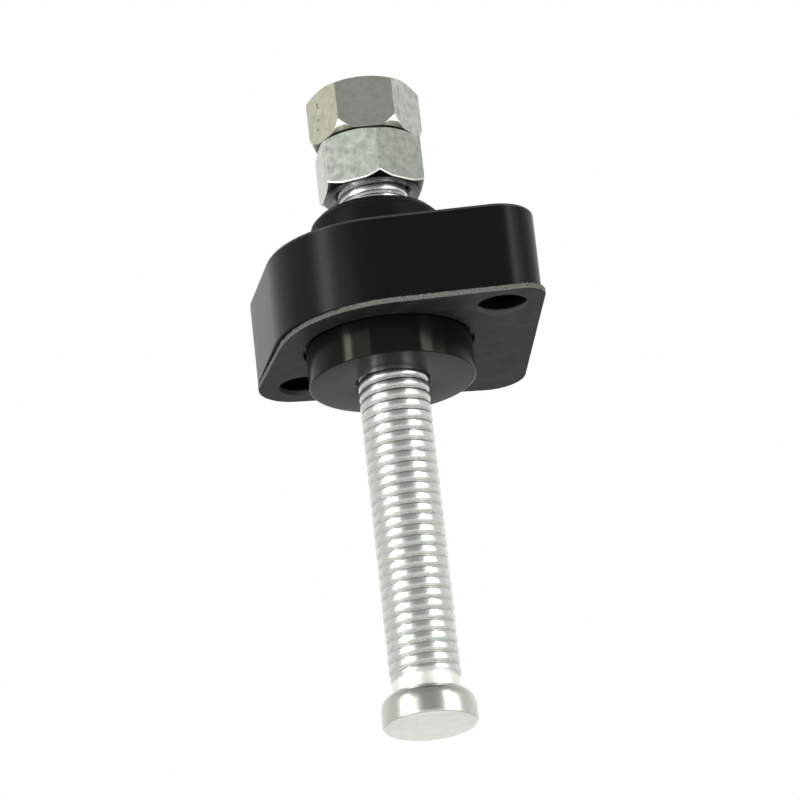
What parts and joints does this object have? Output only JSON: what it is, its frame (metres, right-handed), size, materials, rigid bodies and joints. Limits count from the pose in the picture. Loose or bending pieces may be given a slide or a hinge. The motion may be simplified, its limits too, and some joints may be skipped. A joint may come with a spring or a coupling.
{
  "type": "manual cam chain tensioner",
  "caption": "Manual cam chain tensioner: black flanged body with a spigot and screw holes, gasket, threaded adjuster bolt with a round foot, lock nut and end nut.",
  "frame": {"origin": "on the bolt's axis, in the plane of the gasket's lower face, where the engine's face meets it", "axes": "+Z along the bolt's axis out of the engine, towards the nuts; -Z into the engine, towards the foot; +X towards the near screw hole's side"},
  "size_m": [0.0336, 0.0307, 0.0763],
  "materials": {
    "black_anodised": "machined aluminium, black anodised, satin gloss",
    "gasket_fibre": "compressed fibre gasket sheet, dark grey, matte",
    "bolt_zinc": "rolled steel thread, bright zinc plated",
    "lock_nut_zinc": "steel, bright zinc plated, lightly mottled",
    "end_nut_zinc": "steel, zinc plated, faintly yellow",
    "seal_rubber": "moulded rubber, matte"
  },
  "bodies": {
    "housing": {"tensioner_body": "black_anodised", "flange_gasket": "gasket_fibre"},
    "seal": {"bolt_seal": "seal_rubber"},
    "adjuster": {"adjuster_bolt": "bolt_zinc", "end_nut": "end_nut_zinc"},
    "lock_nut": {"lock_nut": "lock_nut_zinc"}
  },
  "joints": [
    {"name": "bolt_turn", "type": "hinge", "parent": "housing", "child": "seal", "pos_m": [0, 0, 0], "axis": [0, 0, 1], "range_deg": [0, 10370]},
    {"name": "bolt_feed", "type": "slide", "parent": "seal", "child": "adjuster", "axis": [0, 0, 1], "range_m": [0, 0.036]},
    {"name": "lock_nut_run", "type": "slide", "parent": "housing", "child": "lock_nut", "axis": [0, 0, 1], "range_m": [-0.0025, 0]}
  ],
  "couplings": [
    {"joint": "bolt_turn", "follows": "bolt_feed", "rad_per_m": 5026.5}
  ]
}
